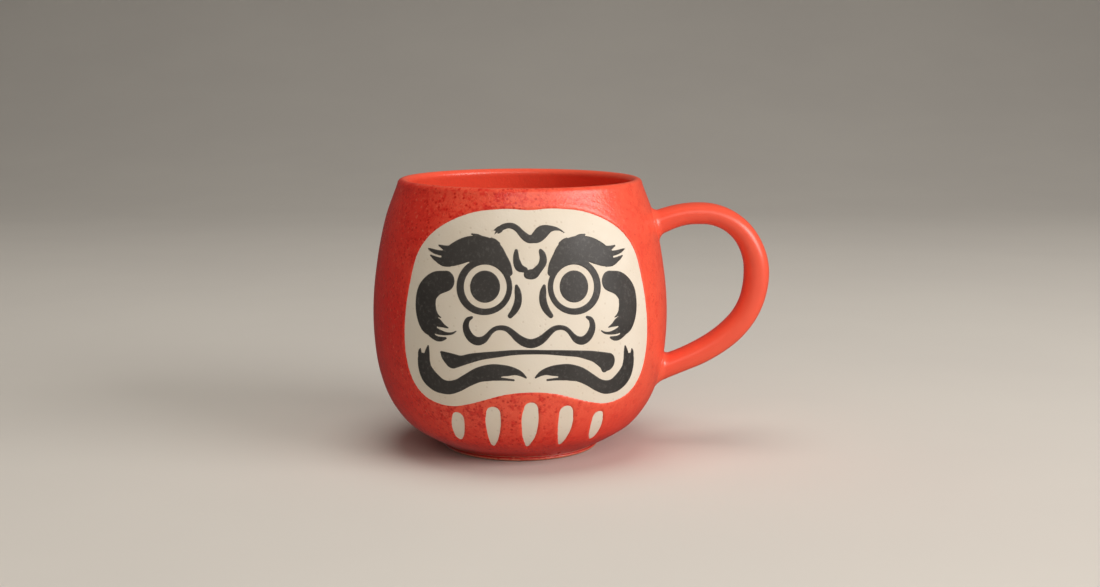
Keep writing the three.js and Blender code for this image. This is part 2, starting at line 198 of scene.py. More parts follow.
BROW = [
    [
        [-6.6, 63.7, 1.1], [-7.7, 65.6, 1.75], [-9.6, 67.7, 2.4], [-12, 69.6, 3.3],
        [-15.5, 70.4, 3.8], [-20, 70.3, 3.75], [-23.5, 69.1, 3.6], [-26, 68, 3.1],
        [-27.2, 67.6, 2.45],
    ],
    [[-25.5, 69.3, 2], [-27.8, 69.95, 1], [-29.2, 70.3, 0.65], [-30.3, 70.6, 0.4], [-31.1, 70.8, 0.22]],
    [
        [-27, 68.6, 1.2], [-29.8, 68.6, 0.8], [-31.3, 68.7, 0.72], [-33, 68.98, 0.6],
        [-34.3, 69.3, 0.42], [-35.2, 69.55, 0.2],
    ],
    [
        [-26.5, 66.3, 1.6], [-28.5, 66.1, 1.38], [-30, 66.25, 1.03], [-31.2, 66.6, 0.78],
        [-32.5, 67.03, 0.58], [-33.3, 67.35, 0.38], [-33.95, 67.62, 0.22],
    ],
    [[-14.5, 73.1, 0.6], [-17.2, 74.35, 0.4], [-19.5, 74.7, 0.15]],
    [[-10.3, 72, 0.7], [-11.4, 73.1, 0.4], [-12.7, 73.75, 0.12]],
]
WHISKER = [
    [
        [-27.3, 60.4, 3.1], [-31.3, 59.2, 3.7], [-34.1, 56.4, 4], [-34.55, 53, 4.05],
        [-34, 50, 4.05], [-33.2, 47.3, 3.4], [-32.4, 45.8, 2.4],
    ],
    [[-31.5, 51.5, 1.2], [-29.9, 50.1, 0.5], [-28.45, 49.3, 0.15]],
    [[-31.5, 48.3, 1.6], [-29.3, 47.7, 1.25], [-27.6, 47, 0.6], [-25.9, 46.45, 0.2]],
    [[-31.5, 45.6, 1.2], [-29, 44.9, 0.85], [-26.5, 44.6, 0.5], [-24.5, 44.85, 0.35], [-23.15, 45.55, 0.18]],
    [[-33.2, 45.6, 1.7], [-31.4, 43.5, 0.9], [-29.8, 42.8, 0.8], [-28.2, 42.8, 0.7], [-26.7, 43.2, 0.35]],
]
BEARD = [
    [
        [-35.4, 35.2, 2.55], [-35.15, 33, 2.8], [-34, 30.7, 3.2], [-31.7, 28.85, 3.03],
        [-29.3, 27.9, 2.5], [-26.6, 27.7, 2.2], [-23.2, 28.7, 1.95], [-19.7, 30.7, 2],
        [-15.8, 32.65, 2.3], [-12, 33.5, 2.55], [-9.5, 34.1, 1.95], [-7, 34.1, 1.6],
        [-4.9, 33.9, 1.1], [-3.1, 33.2, 0.75], [-1.5, 32, 0.28],
    ],
    [[-13, 32.2, 1.3], [-10.5, 31.6, 0.65], [-8, 31.45, 0.42], [-5.25, 31.2, 0.3]],
    [[-36.5, 36, 1.2], [-36.8, 37.8, 0.7], [-36.5, 38.95, 0.2]],
    [[-34.2, 36, 1.3], [-33.7, 38.4, 0.85], [-33.25, 40.1, 0.3]],
]
# The right half of the face is the left half mirrored, a little narrower and drooping outwards.
FACE_MIRROR = (0.98, 0.02)
BEARD_MIRROR = (0.97, 0.027)

# The handle's middle line as knots [distance from the axis, height, half-thickness]
HANDLE_PATH = [
    [38, 70.6, 4.1],
    [42.5, 72.4, 4.05],
    [46.6, 74.1, 3.85],
    [50, 75.3, 3.65],
    [54, 76.2, 3.5],
    [58, 76.45, 3.5],
    [62, 76.2, 3.45],
    [66, 75, 3.45],
    [69.5, 73, 3.5],
    [72.7, 70, 3.6],
    [75.2, 66, 3.75],
    [76.8, 61.5, 3.95],
    [77.3, 57, 4.1],
    [76.9, 52, 4.05],
    [75.6, 47, 3.95],
    [73, 42, 3.9],
    [69.1, 37.5, 3.95],
    [64.5, 33.8, 3.9],
    [59, 30.5, 3.85],
    [53.5, 28, 3.7],
    [49, 26.2, 3.75],
    [45, 24.6, 3.85],
    [39, 22.3, 3.9],
]
HANDLE_HALF_WIDTH = 5.4
HANDLE_COLUMNS = 56
HANDLE_SPACING = 0.25
# Near its ends the strap keeps every row, and elsewhere one in four
HANDLE_END = 15
HANDLE_STRIDE = 4
# The power that squares off its oval section
OVAL_POWER = 0.88
# The root fillet's reach, how much of a quarter round it follows, and how deep the ends run
ROOT_FILLET = 2.2
FILLET_SHARE = 0.98
ROOT_DEPTH = 0.8


# Curves


def catmull_rom(knots, per_stretch, closed=False):
    """Points of a centripetal Catmull-Rom curve: between two knots a cubic, whose end slopes come
    from the knots on either side, with the knots spaced by the root of their distance."""
    knots = np.asarray(knots, float)
    if closed:
        padded = np.vstack([knots[-1:], knots, knots[:2]])
    else:
        padded = np.vstack([2 * knots[0] - knots[1], knots, 2 * knots[-1] - knots[-2]])
    before, start, end, after = (padded[i : len(padded) - 3 + i, None] for i in range(4))
    gaps = [np.sqrt(np.linalg.norm(q - p, axis=-1, keepdims=True)) for p, q in
            ((before, start), (start, end), (end, after))]
    slope_out = ((start - before) / gaps[0] - (end - before) / (gaps[0] + gaps[1])
                 + (end - start) / gaps[1]) * gaps[1]
    slope_in = ((end - start) / gaps[1] - (after - start) / (gaps[1] + gaps[2])
                + (after - end) / gaps[2]) * gaps[1]
    t = (np.arange(per_stretch) / per_stretch)[None, :, None]
    square = 3 * (end - start) - 2 * slope_out - slope_in
    cube = 2 * (start - end) + slope_out + slope_in
    points = (start + slope_out * t + square * t**2 + cube * t**3).reshape(-1, knots.shape[1])
    return points if closed else np.vstack([points, knots[-1:]])


def arc_length(points):
    """Distance along a line of points, from its first point."""
    return np.r_[0, np.cumsum(np.linalg.norm(np.diff(points, axis=0), axis=1))]


def even_points(points, spacing):
    """The same line with its points a given distance apart."""
    length = arc_length(points)
    stops = np.linspace(0, length[-1], max(2, int(np.ceil(length[-1] / spacing)) + 1))
    return np.stack([np.interp(stops, length, column) for column in points.T], axis=1)


def headings(points):
    """Unit vectors along a line of points: the slope at each point over its own length."""
    along = np.gradient(points, axis=0)
    return along / np.linalg.norm(along, axis=1, keepdims=True)


def profile_normals(points):
    """Unit normals on the right-hand side of a profile [radius, height], away from the clay."""
    along = headings(points)
    return np.stack([along[:, 1], -along[:, 0]], axis=1)


def lip_points():
    """The round of the lip from its outer to its inner side."""
    return np.stack([LIP_CENTRE_RADIUS + LIP_RADIUS * np.cos(LIP_ANGLES),
                     LIP_TOP - LIP_RADIUS + LIP_RADIUS * np.sin(LIP_ANGLES)], axis=1).tolist()


outside_line = catmull_rom(FOOT_SIDE[-1:] + OUTSIDE + lip_points()[:2], 40)
outside_line = outside_line[: int(np.argmax(outside_line[:, 1] >= LIP_TOP - LIP_RADIUS)) + 1]
outside_normal = profile_normals(outside_line)


def outside_at(z):
    """The outside's radius at a height, and its normal's parts outwards and upwards, read from the
    profile."""
    columns = (outside_line[:, 0], outside_normal[:, 0], outside_normal[:, 1])
    return [np.interp(z, outside_line[:, 1], column) for column in columns]


def on_outside(a, z, level):
    """Points on the mug's outside at a way round a and a height z, lifted along the normal: the
    angle is a over the belly's radius, and the radius is read from the profile at that height."""
    wall_radius, outward, upward = outside_at(z)
    angle = FACE_TURN + a / BELLY_RADIUS
    radius = wall_radius + outward * level
    return np.stack([radius * np.sin(angle), -radius * np.cos(angle), z + upward * level], axis=-1)


# Distances on the unrolled face


def outline_distance(a, z, outline):
    """Signed distance to a closed outline, negative inside: the distance to the nearest edge, and
    the sign from how often a ray towards +a crosses the outline."""
    edge = np.roll(outline, -1, axis=0) - outline
    to_a = a[..., None] - outline[:, 0]
    to_z = z[..., None] - outline[:, 1]
    share = np.clip((to_a * edge[:, 0] + to_z * edge[:, 1]) / (edge**2).sum(axis=1), 0, 1)
    nearest = np.hypot(to_a - share * edge[:, 0], to_z - share * edge[:, 1]).min(axis=-1)
    level = np.where(edge[:, 1] == 0, 1e-9, edge[:, 1])
    spans = (to_z < 0) != (to_z < edge[:, 1])
    crossings = (spans & (to_a < to_z * edge[:, 0] / level)).sum(axis=-1)
    return np.where(crossings % 2 == 1, -nearest, nearest)


def window_outline():
    """The face window's closed outline: one half, and the same half mirrored."""
    other = [[-a, z] for a, z in WINDOW_HALF[-2:0:-1]]
    return even_points(catmull_rom(WINDOW_HALF + other, 12, closed=True), OUTLINE_SPACING)


def stroke_distance(a, z, strokes):
    """Distance to the nearest disc of a row of round brush dabs, negative inside, with the way
    along the stroke and the way across it, as shares of its width."""
    distance = np.full(a.shape, FAR)
    along = np.zeros(a.shape)
    across = np.zeros(a.shape)
    for knots in strokes:
        line = even_points(catmull_rom(knots, 16), DAB_SPACING)
        length = arc_length(line[:, :2])
        heading = headings(line[:, :2])
        reach = line[:, 2].max() + 2
        near = ((a > line[:, 0].min() - reach) & (a < line[:, 0].max() + reach)
                & (z > line[:, 1].min() - reach) & (z < line[:, 1].max() + reach))
        to_a = a[near][:, None] - line[:, 0]
        to_z = z[near][:, None] - line[:, 1]
        gap = np.hypot(to_a, to_z) - line[:, 2]
        dab = gap.argmin(axis=1)
        row = np.arange(len(dab))
        nearest = gap[row, dab]
        side = heading[dab, 0] * to_z[row, dab] - heading[dab, 1] * to_a[row, dab]
        better = nearest < distance[near]
        where = np.flatnonzero(near.ravel())[better]
        distance.ravel()[where] = nearest[better]
        along.ravel()[where] = length[dab][better]
        across.ravel()[where] = (side / line[dab, 2])[better]
    return distance, along, across


def ellipse_distance(a, z, centre, radii):
    """About the distance to an ellipse, negative inside: how far out the point is as a share of
    the ellipse, times its mean radius."""
    share = np.hypot((a - centre[0]) / radii[0], (z - centre[1]) / radii[1])
    return (share - 1) * (radii[0] + radii[1]) / 2


def mirrored(strokes, rule):
    """Strokes of the left half carried to the right: scaled across, and lower the further out."""
    scale, droop = rule
    return [[[-a * scale, z - droop * abs(a), half] for a, z, half in knots] for knots in strokes]


# Meshes


def mesh_piece(name, points, faces, node, material, values=None):
    """A smooth mesh object from points [x, y, z] round the mug's axis and a list of faces, riding
    on the mug and standing for its CAD node."""
    mesh = bpy.data.meshes.new(name)
    points = points.reshape(-1, 3) + [AXIS_X, 0, 0]
    mesh.from_pydata(points * MM, [], faces)
    mesh.shade_smooth()
    mesh.materials.append(material)
    for key, value in (values or {}).items():
        attribute = mesh.attributes.new(key, "FLOAT_VECTOR", "POINT")
        attribute.data.foreach_set("vector", np.asarray(value, np.float32).ravel())
    mesh.update()
    piece = bpy.data.objects.new(name, mesh)
    bpy.context.scene.collection.objects.link(piece)
    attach(piece, BODY)
    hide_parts(node)
    return piece


def thicken(piece, thickness):
    """Gives a sheet a wall of that thickness on its inner side, closed round its edges."""
    wall = piece.modifiers.new("wall", "SOLIDIFY")
    wall.thickness = thickness * MM
    wall.offset = -1
    wall.use_rim = True


def grid_faces(rows, columns, around=False):
    """Quads of a grid of points, row by row; around closes the last column to the first."""
    index = np.arange(rows * columns).reshape(rows, columns)
    if around:
        index = np.hstack([index, index[:, :1]])
    return np.stack([index[:-1, :-1], index[:-1, 1:], index[1:, 1:], index[1:, :-1]], axis=-1)


def fan(ring, middle, last=False):
    """Triangles from a ring of points to its middle, closing a tube's start, or its last end."""
    after = np.roll(ring, -1)
    pair = [ring, after] if last else [after, ring]
    return np.stack([*pair, np.full(len(ring), middle)], axis=1).tolist()


def drop_unused(points, faces, *others):
    """Only the points that the faces use, with the faces numbered again."""
    used, faces = np.unique(faces, return_inverse=True)
    return points[used], faces.reshape(-1, 4), *(other[used] for other in others)


def turned_points(line, angles):
    """A surface of revolution: every profile point carried round the axis through the angles."""
    radius = line[:, None, 0]
    height = np.broadcast_to(line[:, None, 1], (len(line), len(angles)))
    return np.stack([radius * np.sin(angles), -radius * np.cos(angles), height], axis=-1)


def whole_turn(count):
    """Evenly spaced angles once round, with no angle twice."""
    return np.arange(count) * 2 * np.pi / count


def film(name, node, material, field, low, high, cell, level):
    """A thin film on the mug: a grid of cells on the unrolled face, kept where the field is
    negative, with its edge points moved along the field's slope onto the zero line."""
    a, z = np.meshgrid(np.arange(low[0], high[0], cell), np.arange(low[1], high[1], cell))
    distance, along, across = field(a, z)
    inside = distance < cell / 2
    cells = inside[:-1, :-1] & inside[1:, :-1] & inside[:-1, 1:] & inside[1:, 1:]
    whole = np.zeros(a.shape, bool)
    whole[1:-1, 1:-1] = cells[:-1, :-1] & cells[1:, :-1] & cells[:-1, 1:] & cells[1:, 1:]
    slope_z, slope_a = np.gradient(distance, cell)
    push = np.where(whole, 0, distance) / np.maximum(slope_a**2 + slope_z**2, LEAST_SLOPE_SQUARED)
    a = a - push * slope_a
    z = z - push * slope_z
    points = on_outside(a, z, level).reshape(-1, 3)
    brush = np.stack([along, across, distance], axis=-1).reshape(-1, 3)
    faces = grid_faces(*a.shape)[cells]
    points, faces, brush = drop_unused(points, faces, brush)
    piece = mesh_piece(name, points, faces.tolist(), node, material, {"brush": brush})
    thicken(piece, FILM_THICKNESS)


# Shader nodes


def add_node(tree, kind, inputs=None, **settings):
    """Adds a node, sets its properties, and gives its inputs values or links."""
    made = tree.nodes.new(kind)
    for key, value in settings.items():
        setattr(made, key, value)
    for key, value in (inputs or {}).items():
        if isinstance(value, bpy.types.NodeSocket):
            tree.links.new(value, made.inputs[key])
        else:
            made.inputs[key].default_value = value
    return made


def noise(tree, where, scale, detail=2.0, roughness=0.5):
    """Soft noise from 0 to 1, mostly near 0.5."""
    settings = {"Vector": where, "Scale": scale, "Detail": detail, "Roughness": roughness}
    return add_node(tree, "ShaderNodeTexNoise", settings).outputs["Fac"]


def arithmetic(tree, operation, first, second=0.0):
    """One sum on two values."""
    return add_node(tree, "ShaderNodeMath", {0: first, 1: second}, operation=operation).outputs[0]


def ease(tree, value, start, end, low=0.0, high=1.0):
    """The value's smooth passage from start to end, as low to high."""
    inputs = {"Value": value, "From Min": start, "From Max": end, "To Min": low, "To Max": high}
    return add_node(tree, "ShaderNodeMapRange", inputs, interpolation_type="SMOOTHSTEP").outputs[0]


def blend_colours(tree, share, first, second):
    """The first colour, passing into the second as the share goes from 0 to 1."""
    made = add_node(tree, "ShaderNodeMix", data_type="RGBA")
    for socket, value in zip([made.inputs[0], made.inputs[6], made.inputs[7]], [share, first, second]):
        if isinstance(value, bpy.types.NodeSocket):
            tree.links.new(value, socket)
        else:
            socket.default_value = value if isinstance(value, float) else (*value, 1)
    return made.outputs[2]


def stretched(tree, where, scale):
    """Coordinates scaled by different amounts along each axis."""
    return add_node(tree, "ShaderNodeMapping", {"Vector": where, "Scale": scale}).outputs[0]


def effect_group(name, inputs, outputs, build):
    """A node group with named inputs and outputs, built once and placed in several materials."""
    tree = bpy.data.node_groups.new(name, "ShaderNodeTree")
    for socket, kind in inputs.items():
        tree.interface.new_socket(name=socket, in_out="INPUT", socket_type="NodeSocket" + kind)
    for socket in outputs:
        tree.interface.new_socket(name=socket, in_out="OUTPUT", socket_type="NodeSocketFloat")
    given = tree.nodes.new("NodeGroupInput").outputs
    results = tree.nodes.new("NodeGroupOutput").inputs
    for socket, value in build(tree, given).items():
        tree.links.new(value, results[socket])
    return tree


def place_group(tree, group, inputs):
    """One use of a node group, as its named outputs."""
    return add_node(tree, "ShaderNodeGroup", inputs, node_tree=group).outputs


def clouded(tree, surface, low=0.0, high=1.0):
    """A value that drifts from low to high with a surface's slow clouds."""
    return ease(tree, surface["Clouds"], 0.3, 0.7, low, high)


def fired_surface(tree, given):
    """Slow clouds of thicker and thinner glaze, the fine ripple that firing leaves, and pin pits."""
    where = given["Position"]
    cells = add_node(tree, "ShaderNodeTexVoronoi", {"Vector": where, "Scale": 620.0, "Randomness": 1.0})
    chosen = add_node(tree, "ShaderNodeSeparateColor", {"Color": cells.outputs["Color"]}).outputs[0]
    pit = arithmetic(tree, "MULTIPLY", ease(tree, cells.outputs["Distance"], 0.34, 0.12),
                     ease(tree, chosen, 0.62, 0.72))
    ripple = noise(tree, where, given["Ripple Scale"], 2.0)
    return {"Clouds": noise(tree, where, 52.0, 3.0, 0.55), "Ripple": ripple, "Pits": pit}


def iron_specks(tree, given):
    """Dark specks of iron that melted into the glaze, round dots of mixed sizes and fine ragged
    ones, the darker blotches that they gather in, and light flecks between them. Density is how
    thick they lie, 0 to 1."""
    where = given["Position"]
    gather = noise(tree, where, 230.0, 2.0, 0.6)
    grain = noise(tree, where, 1500.0, 2.0, 0.65)
    level = arithmetic(tree, "ADD", grain, arithmetic(tree, "MULTIPLY", gather, 0.45))
    need = ease(tree, given["Density"], 0.0, 1.0, 1.1, 0.825)
    fine = ease(tree, arithmetic(tree, "SUBTRACT", level, need), -0.01, 0.06)
    cells = add_node(tree, "ShaderNodeTexVoronoi", {"Vector": where, "Scale": 820.0, "Randomness": 1.0})
    drawn = add_node(tree, "ShaderNodeSeparateColor", {"Color": cells.outputs["Color"]}).outputs[0]
    drawn = arithmetic(tree, "ADD", arithmetic(tree, "MULTIPLY", drawn, 0.4), gather)
    need = ease(tree, given["Density"], 0.0, 1.0, 1.2, 0.68)
    dots = arithmetic(tree, "MULTIPLY", ease(tree, cells.outputs["Distance"], 0.48, 0.16),
                      ease(tree, arithmetic(tree, "SUBTRACT", drawn, need), 0.0, 0.06))
    specks = arithmetic(tree, "MAXIMUM", dots, arithmetic(tree, "MULTIPLY", fine, 0.6))
    blotch = arithmetic(tree, "ADD", noise(tree, where, 620.0, 2.0, 0.6),
                        arithmetic(tree, "MULTIPLY", gather, 0.5))
    blotches = arithmetic(tree, "MULTIPLY", ease(tree, blotch, 0.7, 0.92), given["Density"])
    light = noise(tree, where, 1050.0, 1.0)
    flecks = arithmetic(tree, "MULTIPLY", ease(tree, light, 0.62, 0.74), given["Density"])
    return {"Specks": specks, "Blotches": blotches, "Flecks": flecks}


def brush_work(tree, given):
    """Hair streaks of a brush running dry, drawn out along the stroke, and its paler thin edge."""
    hairs = noise(tree, stretched(tree, given["Brush"], (0.09, 2.1, 0.0)), 2.4, 3.0, 0.6)
    broken = noise(tree, stretched(tree, given["Brush"], (0.5, 1.0, 0.0)), 0.9, 2.0, 0.5)
    level = arithmetic(tree, "ADD", hairs, arithmetic(tree, "MULTIPLY", broken, 0.35))
    need = ease(tree, given["Dryness"], 0.0, 1.0, 1.02, 0.6)
    dry = ease(tree, arithmetic(tree, "SUBTRACT", level, need), 0.0, 0.09)
    depth = add_node(tree, "ShaderNodeSeparateXYZ", {"Vector": given["Brush"]}).outputs[2]
    return {"Streaks": dry, "Edge": ease(tree, depth, -0.55, 0.05)}


surface_group = effect_group(
    "fired_surface",
    {"Position": "Vector", "Ripple Scale": "Float"},
    ["Clouds", "Ripple", "Pits"],
    fired_surface,
)
speck_group = effect_group(
    "iron_specks",
    {"Position": "Vector", "Density": "Float"},
    ["Specks", "Blotches", "Flecks"],
    iron_specks,
)
brush_group = effect_group(
    "brush_work",
    {"Brush": "Vector", "Dryness": "Float"},
    ["Streaks", "Edge"],
    brush_work,
)


def new_material(name, **shader_values):
    """A material with one Principled shader, and the piece's own Object coordinates."""
    material = bpy.data.materials.new(name)
    material.use_nodes = True
    tree = material.node_tree
    shader = tree.nodes["Principled BSDF"]
    for key, value in shader_values.items():
        shader.inputs[key.replace("_", " ")].default_value = value
    where = add_node(tree, "ShaderNodeTexCoord").outputs["Object"]
    return material, tree, shader, where


def finish_material(tree, shader, colour, roughness, height, bump_distance):
    """Joins the colour, the roughness and the bumps to the shader."""
    bump = add_node(tree, "ShaderNodeBump", {"Height": height, "Distance": bump_distance, "Strength": 1.0})
    tree.links.new(colour, shader.inputs["Base Color"])
    tree.links.new(roughness, shader.inputs["Roughness"])
    tree.links.new(bump.outputs[0], shader.inputs["Normal"])


RED = (0.95, 0.118, 0.060)
CLOUD_RED = (0.90, 0.098, 0.050)
# Painted shade: the coat's red where the mug's left side and lower belly lie in shade
SHADED_RED = (0.80, 0.012, 0.008)
BRIGHT_RED = (0.96, 0.12, 0.058)
# Painted light: the liner's reds are paler than the coat's, standing in for the light and sheen on the
# inside wall
LIT_LINER_RED = (0.96, 0.20, 0.115)
LIT_DEEP_LINER_RED = (0.92, 0.135, 0.072)
THIN_RED = (0.90, 0.23, 0.135)
# Painted shade on the underside that faces down, with glaze pooled in the foot's groove
POOLED_AND_SHADED_RED = (0.55, 0.008, 0.005)
BLOTCH_RED = (0.76, 0.028, 0.016)
SPECK_RED = (0.60, 0.012, 0.005)
FLECK_ORANGE = (0.93, 0.15, 0.085)
CREAM = (0.83, 0.755, 0.64)
CLOUD_CREAM = (0.79, 0.70, 0.575)
PIT_CREAM = (0.55, 0.42, 0.3)
BLACK = (0.043, 0.039, 0.036)
CLOUD_BLACK = (0.058, 0.053, 0.049)
DRY_BLACK = (0.16, 0.145, 0.125)
WORN_BLACK = (0.092, 0.086, 0.080)
CLAY = (0.66, 0.38, 0.27)
SANDY_CLAY = (0.54, 0.29, 0.20)
PIT_CLAY = (0.25, 0.12, 0.08)

# Where finishes change, from start to end in metres: the first three and the last along X, the
# others in height
SPECKS_GATHER = (0.040, -0.022)
SPECKS_DARKEN = (0.03, -0.02)
# Painted shade: the next two make the coat's red deeper towards -X and lower down towards the foot
LEFT_SHADE_DEEPENS = (0.0, -0.054)
LOW_SHADE_DEEPENS = (0.024, 0.005)
LIP_THINS = (0.0873, 0.088)
# Painted shade on the underside that faces down, darkest where glaze pools in the foot's groove
UNDERSIDE_SHADE_AND_POOL = (0.0055, 0.002)
# The foot's edge: thin glaze and a painted highlight
FOOT_EDGE_THIN_AND_LIT = (0.0012, 0.0008)
BRUSH_DRIES = (-0.03, -0.062)
# How far from a window the glaze brightens, in millimetres
WINDOW_GLOW = (1.5, 0.4)

# Roughness at the two ends of the clouds, and on the clay of its grain
COAT_ROUGHNESS = (0.27, 0.36)
SMOOTH_ROUGHNESS = (0.29, 0.36)
CREAM_ROUGHNESS = (0.55, 0.66)
BLACK_ROUGHNESS = (0.42, 0.55)
CLAY_ROUGHNESS = (0.72, 0.88)

# Index of refraction, and the height of the bumps in metres
GLAZE_IOR = 1.6
MATT_IOR = 1.45
COAT_BUMPS = 0.00009
SMOOTH_BUMPS = 0.00004
SLIP_BUMPS = 0.00003
CLAY_BUMPS = 0.00005
FLOOR_BUMPS = 0.0002


def red_coat_material():
    """Satin red glaze with iron specks that thin out towards +X and stop at the lip, painted shade
    as deeper red towards -X and down by the foot, brighter beside the windows, painted shade on the
    underside that faces down, darkest in the foot's groove where the glaze pools, thin and pale over
    the lip, and thin glaze with a painted highlight round the foot's edge."""
    material, tree, shader, where = new_material("red_glaze_specked", IOR=GLAZE_IOR)
    surface = place_group(tree, surface_group, {"Position": where, "Ripple Scale": 700.0})
    place = add_node(tree, "ShaderNodeSeparateXYZ", {"Vector": where}).outputs
    edges = add_node(tree, "ShaderNodeAttribute", attribute_name="edges").outputs["Vector"]
    to_window, inside, _ = add_node(tree, "ShaderNodeSeparateXYZ", {"Vector": edges}).outputs
    reach = arithmetic(tree, "MULTIPLY", noise(tree, where, 40.0, 2.0), 0.03)
    reach = arithmetic(tree, "ADD", place[0], reach)
    outside = ease(tree, inside, 1.0, 0.0)
    density = arithmetic(tree, "MULTIPLY", ease(tree, reach, *SPECKS_GATHER, 0.66, 1.0), outside)
    strength = ease(tree, reach, *SPECKS_DARKEN, 0.42, 1.0)
    specks = place_group(tree, speck_group, {"Position": where, "Density": density})
    colour = blend_colours(tree, clouded(tree, surface), RED, CLOUD_RED)
    colour = blend_colours(tree, ease(tree, to_window, *WINDOW_GLOW, 0.0, 0.8), colour, BRIGHT_RED)
    # Painted shade: a deeper red towards -X and down towards the foot, not on the inside
    low = ease(tree, place[2], *LOW_SHADE_DEEPENS, 0.0, 0.65)
    painted_shade = arithmetic(tree, "MAXIMUM", ease(tree, reach, *LEFT_SHADE_DEEPENS), low)
    painted_shade = arithmetic(tree, "MULTIPLY", painted_shade, outside)
    colour = blend_colours(tree, painted_shade, colour, SHADED_RED)
    colour = blend_colours(tree, ease(tree, place[2], *LIP_THINS, 0.0, 0.15), colour, THIN_RED)
    # Painted shade on the underside that faces down, darkest in the groove where the glaze pools
    colour = blend_colours(tree, ease(tree, place[2], *UNDERSIDE_SHADE_AND_POOL, 0.0, 0.85), colour, POOLED_AND_SHADED_RED)
    # Thin glaze and a painted highlight round the foot's edge
    colour = blend_colours(tree, ease(tree, place[2], *FOOT_EDGE_THIN_AND_LIT), colour, THIN_RED)
    dark = arithmetic(tree, "MULTIPLY", specks["Blotches"], strength)
    colour = blend_colours(tree, dark, colour, BLOTCH_RED)
    light = arithmetic(tree, "MULTIPLY", specks["Flecks"], 0.7)
    colour = blend_colours(tree, light, colour, FLECK_ORANGE)
    dots = arithmetic(tree, "MULTIPLY", specks["Specks"], strength)
    colour = blend_colours(tree, dots, colour, SPECK_RED)
    rough = clouded(tree, surface, *COAT_ROUGHNESS)
    dimples = arithmetic(tree, "MULTIPLY", noise(tree, where, 1900.0, 1.0), 0.85)
    height = arithmetic(tree, "SUBTRACT", arithmetic(tree, "ADD", surface["Ripple"], dimples),
                        arithmetic(tree, "MULTIPLY", surface["Pits"], 0.35))
    finish_material(tree, shader, colour, rough, height, COAT_BUMPS)
    return material


def smooth_red_material(name, bright, deep):
    """The same glaze where it ran smooth, with slow clouds and a gentle ripple."""
    material, tree, shader, where = new_material(name, IOR=GLAZE_IOR)
    surface = place_group(tree, surface_group, {"Position": where, "Ripple Scale": 420.0})
    colour = blend_colours(tree, ease(tree, surface["Clouds"], 0.3, 0.72), bright, deep)
    rough = clouded(tree, surface, *SMOOTH_ROUGHNESS)
    finish_material(tree, shader, colour, rough, surface["Ripple"], SMOOTH_BUMPS)
    return material


def cream_material():
    """Matt cream slip, faintly clouded, with a fine tooth and a few pin pits."""
    material, tree, shader, where = new_material("cream_slip", IOR=MATT_IOR)
    surface = place_group(tree, surface_group, {"Position": where, "Ripple Scale": 1400.0})
    colour = blend_colours(tree, clouded(tree, surface), CREAM, CLOUD_CREAM)
    colour = blend_colours(tree, ease(tree, surface["Pits"], 0.2, 1.0, 0.0, 0.25), colour, PIT_CREAM)
    rough = clouded(tree, surface, *CREAM_ROUGHNESS)
    height = arithmetic(tree, "SUBTRACT", surface["Ripple"], surface["Pits"])
    finish_material(tree, shader, colour, rough, height, SLIP_BUMPS)
    return material


def black_material():
    """Black underglaze laid on with a soft brush: mottled, thin at its edges, and streaked where it
    ran dry, more so towards -X."""
    material, tree, shader, where = new_material("black_underglaze", IOR=MATT_IOR)
    surface = place_group(tree, surface_group, {"Position": where, "Ripple Scale": 1200.0})
    place = add_node(tree, "ShaderNodeSeparateXYZ", {"Vector": where}).outputs
    stroke = add_node(tree, "ShaderNodeAttribute", attribute_name="brush").outputs["Vector"]
    dryness = ease(tree, place[0], *BRUSH_DRIES, 0.0, 0.7)
    brush = place_group(tree, brush_group, {"Brush": stroke, "Dryness": dryness})
    colour = blend_colours(tree, clouded(tree, surface), BLACK, CLOUD_BLACK)
    mottle = ease(tree, noise(tree, where, 900.0, 3.0, 0.7), 0.5, 0.72)
    colour = blend_colours(tree, mottle, colour, WORN_BLACK)
    colour = blend_colours(tree, ease(tree, brush["Edge"], 0.0, 1.0, 0.0, 0.2), colour, DRY_BLACK)
    colour = blend_colours(tree, ease(tree, brush["Streaks"], 0.0, 1.0, 0.0, 0.6), colour, DRY_BLACK)
    rough = clouded(tree, surface, *BLACK_ROUGHNESS)
    finish_material(tree, shader, colour, rough, surface["Ripple"], SLIP_BUMPS)
    return material


def stoneware_material():
    """Bare fired clay of the foot: a warm pinkish buff with sand in it."""
    material, tree, shader, where = new_material("bare_stoneware", IOR=MATT_IOR)
    surface = place_group(tree, surface_group, {"Position": where, "Ripple Scale": 1600.0})
    grain = noise(tree, where, 1500.0, 3.0, 0.6)
    colour = blend_colours(tree, ease(tree, grain, 0.35, 0.65), CLAY, SANDY_CLAY)
    colour = blend_colours(tree, ease(tree, surface["Pits"], 0.2, 1.0, 0.0, 0.5), colour, PIT_CLAY)
    rough = ease(tree, grain, 0.3, 0.7, *CLAY_ROUGHNESS)
    finish_material(tree, shader, colour, rough, grain, CLAY_BUMPS)
    return material


coat_red = red_coat_material()
# The liner's paler reds are painted light and sheen on the inside wall
liner_red = smooth_red_material("red_liner", LIT_LINER_RED, LIT_DEEP_LINER_RED)
handle_red = smooth_red_material("red_glaze_handle", RED, CLOUD_RED)
cream = cream_material()
black = black_material()
bare_clay = stoneware_material()


# Pieces of the mug

# The windows lie within this way round the belly, and above this height
WINDOW_REACH = 52
WINDOW_LOWEST = 10

# How deep the clay lies under the glaze at the foot, the heights over which that passes into
# CLAY_LEVEL, and how deep it lies at the lip
FOOT_CLAY_DEPTH = 0.2
FOOT_CLAY_HEIGHTS = [1.5, 6]
LIP_CLAY_DEPTH = 0.3


def window_distance(a, z):
    """Signed distance to the nearest edge of the face window or a fringe drop, negative inside."""
    distance = np.full(a.shape, FAR)
    near = (np.abs(a) < WINDOW_REACH) & (z > WINDOW_LOWEST)
    distance[near] = outline_distance(a[near], z[near], window_outline())
    return np.minimum(distance, stroke_distance(a, z, FRINGE)[0])


